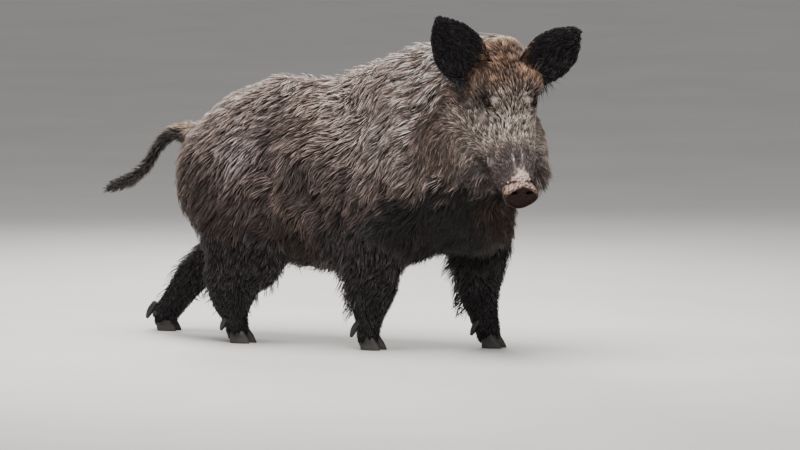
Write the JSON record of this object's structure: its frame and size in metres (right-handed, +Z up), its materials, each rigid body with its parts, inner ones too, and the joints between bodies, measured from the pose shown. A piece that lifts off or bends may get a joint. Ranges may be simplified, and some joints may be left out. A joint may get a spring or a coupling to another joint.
{
  "type": "wild boar model",
  "caption": "Life-size still model of a wild boar in winter coat, walking with its head turned to its right, standing on cloven hooves.",
  "frame": {"origin": "centre of the bounding box's base, on the ground between the feet", "axes": "+Z is up, the boar walks towards -Y, and its left side is towards +X"},
  "size_m": [0.4472, 1.4878, 0.9455],
  "materials": {
    "coat": "rough grizzled grey-brown fur over dark hide",
    "leg_coat": "rough black-brown fur over dark hide",
    "snout_skin": "moist pink-brown gristle, finely wrinkled",
    "hoof_horn": "worn dark horn with growth rings",
    "eye": "wet dark brown eye",
    "tusk_ivory": "stained ivory"
  },
  "bodies": {
    "root": {"trunk": "coat", "neck": "coat", "head": "coat", "lower_jaw": "coat", "ear_right": "leg_coat", "ear_left": "leg_coat", "tail": "leg_coat", "snout": "snout_skin", "eye_right": "eye", "eye_left": "eye", "tusk_right": "tusk_ivory", "tusk_left": "tusk_ivory", "foreleg_right": "leg_coat", "foreleg_left": "leg_coat", "hind_leg_right": "leg_coat", "hind_leg_left": "leg_coat", "foreleg_right_hoof": "hoof_horn", "foreleg_right_inner_dewclaw": "hoof_horn", "foreleg_right_outer_dewclaw": "hoof_horn", "foreleg_left_hoof": "hoof_horn", "foreleg_left_inner_dewclaw": "hoof_horn", "foreleg_left_outer_dewclaw": "hoof_horn", "hind_leg_right_hoof": "hoof_horn", "hind_leg_right_inner_dewclaw": "hoof_horn", "hind_leg_right_outer_dewclaw": "hoof_horn", "hind_leg_left_hoof": "hoof_horn", "hind_leg_left_inner_dewclaw": "hoof_horn", "hind_leg_left_outer_dewclaw": "hoof_horn"}
  },
  "joints": []
}
